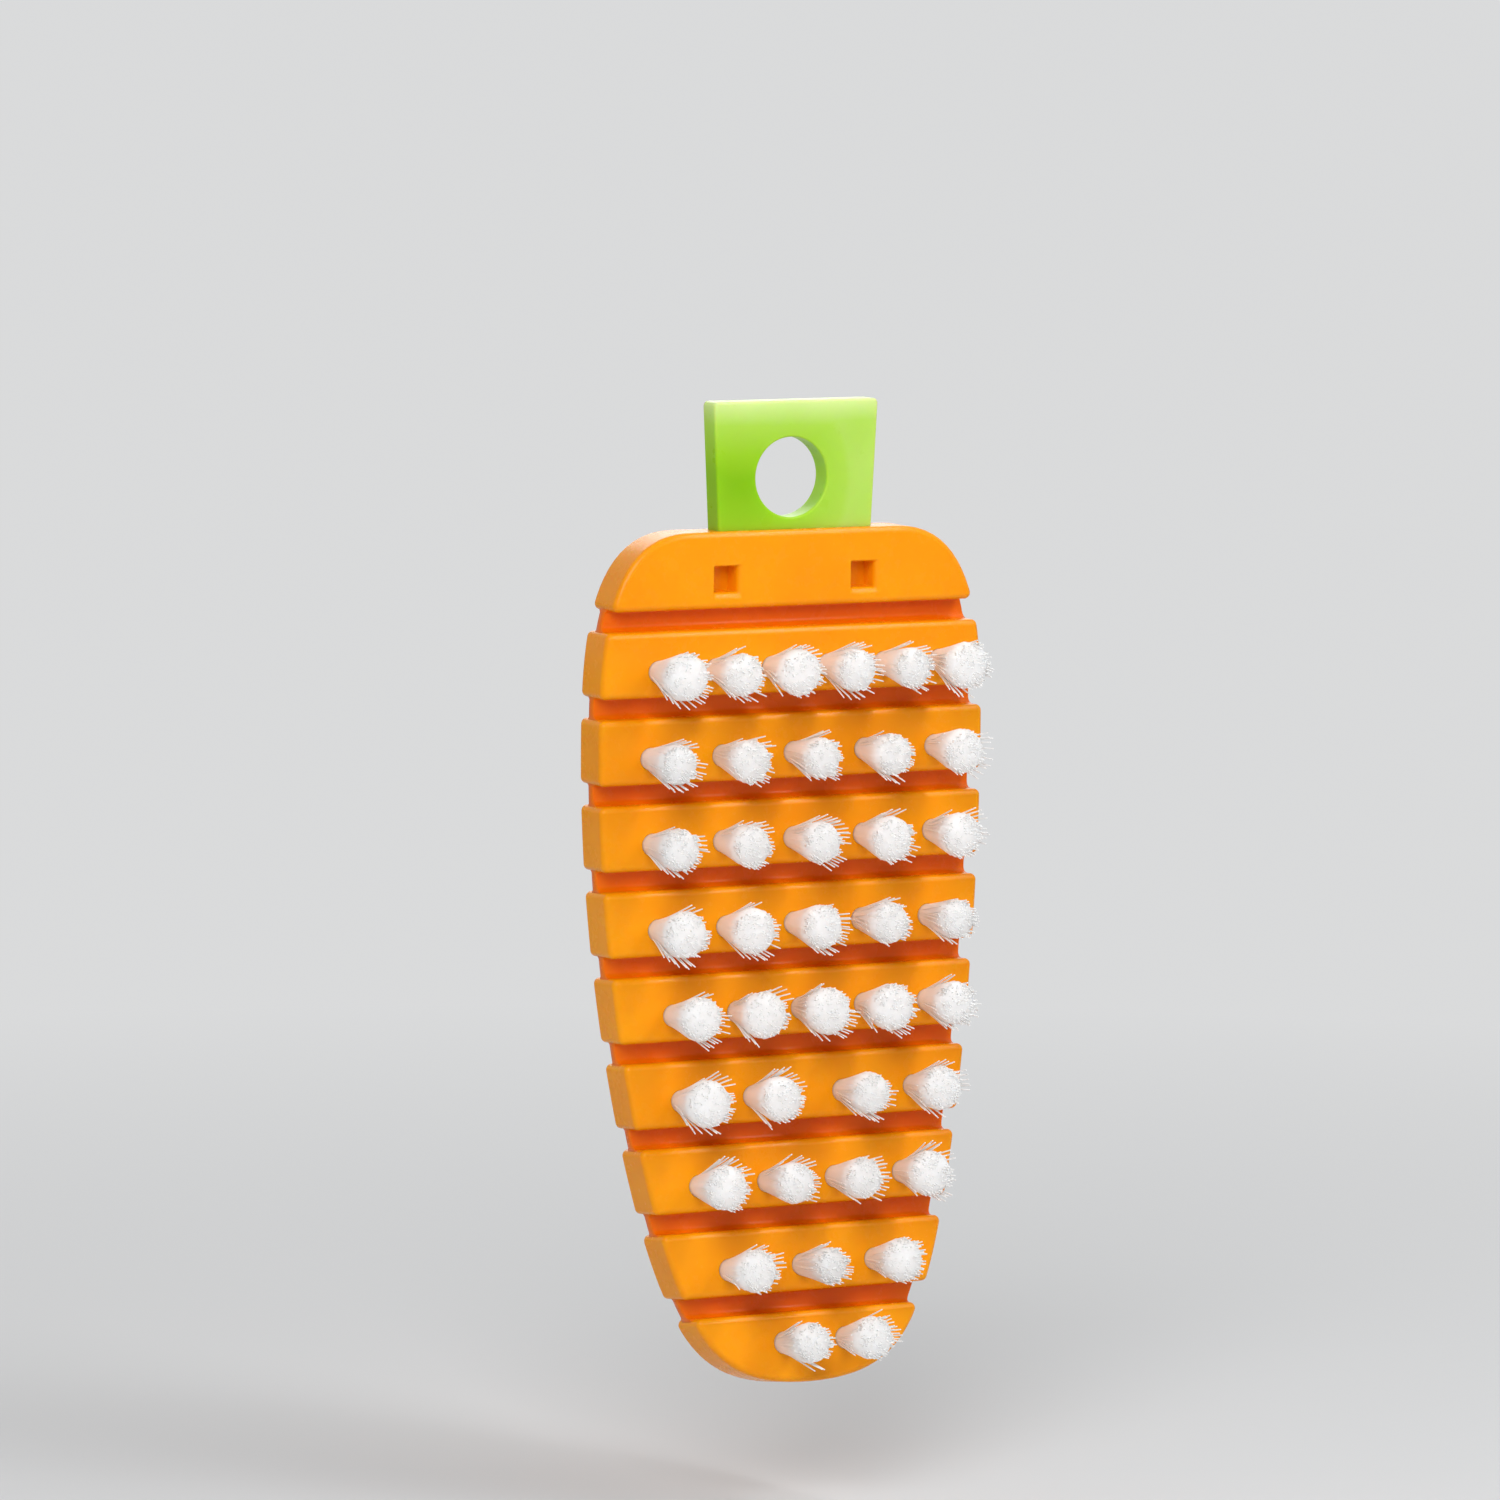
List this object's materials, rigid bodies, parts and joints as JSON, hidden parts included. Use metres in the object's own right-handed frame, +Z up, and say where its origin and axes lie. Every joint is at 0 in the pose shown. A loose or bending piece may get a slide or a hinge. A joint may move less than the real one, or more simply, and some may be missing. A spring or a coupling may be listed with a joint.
{
  "type": "vegetable brush",
  "caption": "Flexible carrot-shaped vegetable brush: slats joined by thin bending webs, bristle tufts on the front, and a flat hanging tab with a round hole.",
  "frame": {"origin": "centre of the hanging hole, halfway through the tab", "axes": "+Z up along the brush towards the tab's top edge, -Y the way the bristles point, +X to the right seen from the bristles"},
  "size_m": [0.07, 0.0267, 0.1599],
  "materials": {
    "orange_moulding": "soft glossy moulded plastic, slightly translucent",
    "green_tab": "glossy, translucent",
    "bristles": "white nylon filament, satin",
    "anchor_steel": "flat wire"
  },
  "bodies": {
    "head": {"head_block": "orange_moulding", "hanging_tab": "green_tab", "flex_web_1": "orange_moulding"},
    "segment_1": {"slat_1": "orange_moulding", "bristle_row_1": "bristles", "tuft_anchors_1": "anchor_steel", "flex_web_2": "orange_moulding"},
    "segment_2": {"slat_2": "orange_moulding", "bristle_row_2": "bristles", "tuft_anchors_2": "anchor_steel", "flex_web_3": "orange_moulding"},
    "segment_3": {"slat_3": "orange_moulding", "bristle_row_3": "bristles", "tuft_anchors_3": "anchor_steel", "flex_web_4": "orange_moulding"},
    "segment_4": {"slat_4": "orange_moulding", "bristle_row_4": "bristles", "tuft_anchors_4": "anchor_steel", "flex_web_5": "orange_moulding"},
    "segment_5": {"slat_5": "orange_moulding", "bristle_row_5": "bristles", "tuft_anchors_5": "anchor_steel", "flex_web_6": "orange_moulding"},
    "segment_6": {"slat_6": "orange_moulding", "bristle_row_6": "bristles", "tuft_anchors_6": "anchor_steel", "flex_web_7": "orange_moulding"},
    "segment_7": {"slat_7": "orange_moulding", "bristle_row_7": "bristles", "tuft_anchors_7": "anchor_steel", "flex_web_8": "orange_moulding"},
    "segment_8": {"slat_8": "orange_moulding", "bristle_row_8": "bristles", "tuft_anchors_8": "anchor_steel", "flex_web_9": "orange_moulding"},
    "segment_9": {"slat_9": "orange_moulding", "bristle_row_9": "bristles", "tuft_anchors_9": "anchor_steel"}
  },
  "joints": [
    {"name": "flex_1", "type": "hinge", "parent": "head", "child": "segment_1", "pos_m": [0, 0.001, -0.0225], "axis": [-1, 0, 0], "range_deg": [-20, 12], "stiffness_Nm_per_rad": 0.15, "deforming": ["flex_web_1"]},
    {"name": "flex_2", "type": "hinge", "parent": "segment_1", "child": "segment_2", "pos_m": [0, 0.001, -0.0365], "axis": [-1, 0, 0], "range_deg": [-20, 12], "stiffness_Nm_per_rad": 0.15, "deforming": ["flex_web_2"]},
    {"name": "flex_3", "type": "hinge", "parent": "segment_2", "child": "segment_3", "pos_m": [0, 0.001, -0.0505], "axis": [-1, 0, 0], "range_deg": [-20, 12], "stiffness_Nm_per_rad": 0.15, "deforming": ["flex_web_3"]},
    {"name": "flex_4", "type": "hinge", "parent": "segment_3", "child": "segment_4", "pos_m": [0, 0.00068, -0.0645], "axis": [-1, 0, 0], "range_deg": [-20, 12], "stiffness_Nm_per_rad": 0.15, "deforming": ["flex_web_4"]},
    {"name": "flex_5", "type": "hinge", "parent": "segment_4", "child": "segment_5", "pos_m": [0, 0.00005, -0.07848], "axis": [-1, 0, 0], "range_deg": [-20, 12], "stiffness_Nm_per_rad": 0.15, "deforming": ["flex_web_5"]},
    {"name": "flex_6", "type": "hinge", "parent": "segment_5", "child": "segment_6", "pos_m": [0, -0.0009, -0.09245], "axis": [-1, 0, 0], "range_deg": [-20, 12], "stiffness_Nm_per_rad": 0.15, "deforming": ["flex_web_6"]},
    {"name": "flex_7", "type": "hinge", "parent": "segment_6", "child": "segment_7", "pos_m": [0, -0.00217, -0.10639], "axis": [-1, 0, 0], "range_deg": [-20, 12], "stiffness_Nm_per_rad": 0.15, "deforming": ["flex_web_7"]},
    {"name": "flex_8", "type": "hinge", "parent": "segment_7", "child": "segment_8", "pos_m": [0, -0.00376, -0.1203], "axis": [-1, 0, 0], "range_deg": [-20, 12], "stiffness_Nm_per_rad": 0.15, "deforming": ["flex_web_8"]},
    {"name": "flex_9", "type": "hinge", "parent": "segment_8", "child": "segment_9", "pos_m": [0, -0.00566, -0.13417], "axis": [-1, 0, 0], "range_deg": [-20, 12], "stiffness_Nm_per_rad": 0.15, "deforming": ["flex_web_9"]}
  ]
}
